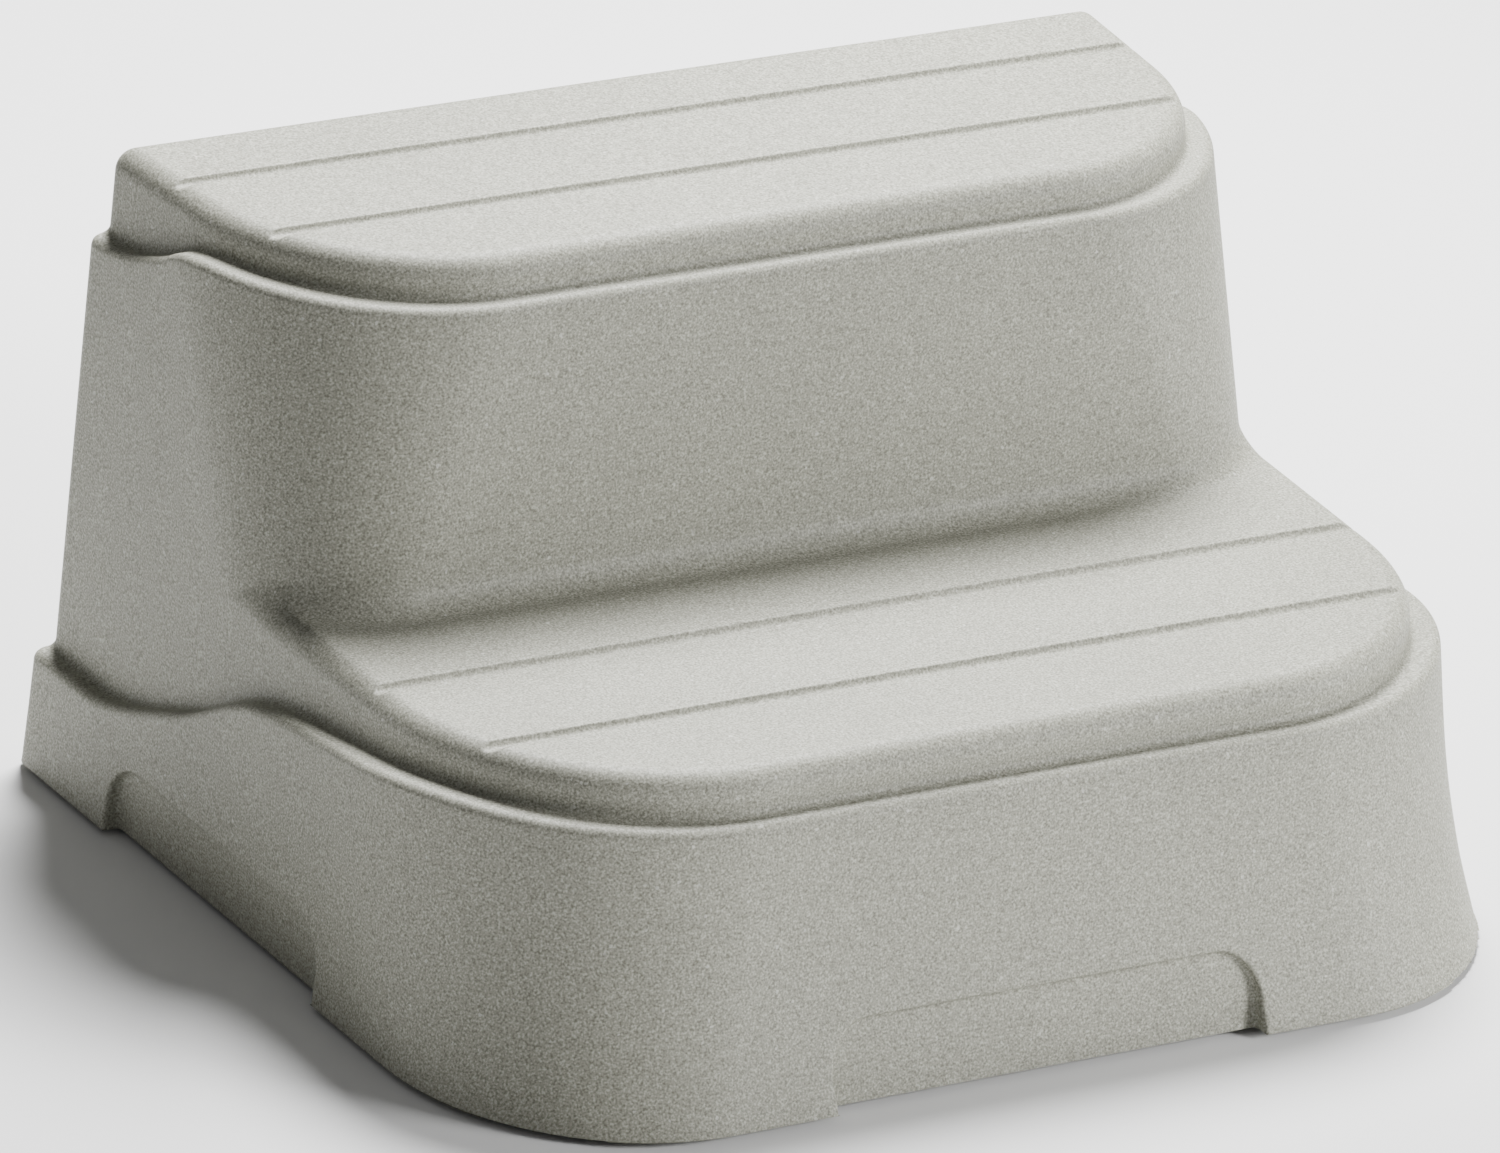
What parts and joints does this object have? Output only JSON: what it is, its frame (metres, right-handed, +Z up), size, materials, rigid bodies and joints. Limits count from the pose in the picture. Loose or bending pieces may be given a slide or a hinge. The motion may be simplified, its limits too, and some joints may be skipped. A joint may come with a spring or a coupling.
{
  "type": "spa step",
  "caption": "Free-standing D-shaped spa and pool step with wide grooved treads, a flared hollow moulded shell, grip recesses at the rim and rubber feet underneath.",
  "frame": {"origin": "middle of the bounding box in plan, on the floor under the feet", "axes": "+Z up, -Y is the front with the lower tread, +Y is the flat back that stands against the spa, X runs across the treads"},
  "size_m": [0.7116, 0.556, 0.381],
  "materials": {
    "shell_plastic": "matt, fine stone-like speckle",
    "foot_rubber": "matt black",
    "board_wood": "sealed exterior plywood",
    "insert_brass": "knurled, plain",
    "fastener_steel": "stainless"
  },
  "bodies": {
    "root": {"foot_bolt_front_left": "fastener_steel", "foot_bolt_front_right": "fastener_steel", "foot_bolt_middle_left": "fastener_steel", "foot_bolt_middle_right": "fastener_steel", "foot_bolt_rear_left": "fastener_steel", "foot_bolt_rear_right": "fastener_steel", "foot_locknut_front_left": "fastener_steel", "foot_locknut_front_right": "fastener_steel", "foot_locknut_middle_left": "fastener_steel", "foot_locknut_middle_right": "fastener_steel", "foot_locknut_rear_left": "fastener_steel", "foot_locknut_rear_right": "fastener_steel", "foot_washer_front_left": "fastener_steel", "foot_washer_front_right": "fastener_steel", "foot_washer_middle_left": "fastener_steel", "foot_washer_middle_right": "fastener_steel", "foot_washer_rear_left": "fastener_steel", "foot_washer_rear_right": "fastener_steel", "lower_board_bolt_1": "fastener_steel", "lower_board_bolt_2": "fastener_steel", "lower_board_bolt_3": "fastener_steel", "lower_board_bolt_4": "fastener_steel", "lower_board_insert_1": "insert_brass", "lower_board_insert_2": "insert_brass", "lower_board_insert_3": "insert_brass", "lower_board_insert_4": "insert_brass", "lower_board_washer_1": "fastener_steel", "lower_board_washer_2": "fastener_steel", "lower_board_washer_3": "fastener_steel", "lower_board_washer_4": "fastener_steel", "lower_tread_board": "board_wood", "rubber_foot_front_left": "foot_rubber", "rubber_foot_front_right": "foot_rubber", "rubber_foot_middle_left": "foot_rubber", "rubber_foot_middle_right": "foot_rubber", "rubber_foot_rear_left": "foot_rubber", "rubber_foot_rear_right": "foot_rubber", "step_shell": "shell_plastic", "upper_board_bolt_1": "fastener_steel", "upper_board_bolt_2": "fastener_steel", "upper_board_bolt_3": "fastener_steel", "upper_board_bolt_4": "fastener_steel", "upper_board_insert_1": "insert_brass", "upper_board_insert_2": "insert_brass", "upper_board_insert_3": "insert_brass", "upper_board_insert_4": "insert_brass", "upper_board_washer_1": "fastener_steel", "upper_board_washer_2": "fastener_steel", "upper_board_washer_3": "fastener_steel", "upper_board_washer_4": "fastener_steel", "upper_tread_board": "board_wood"}
  },
  "joints": []
}
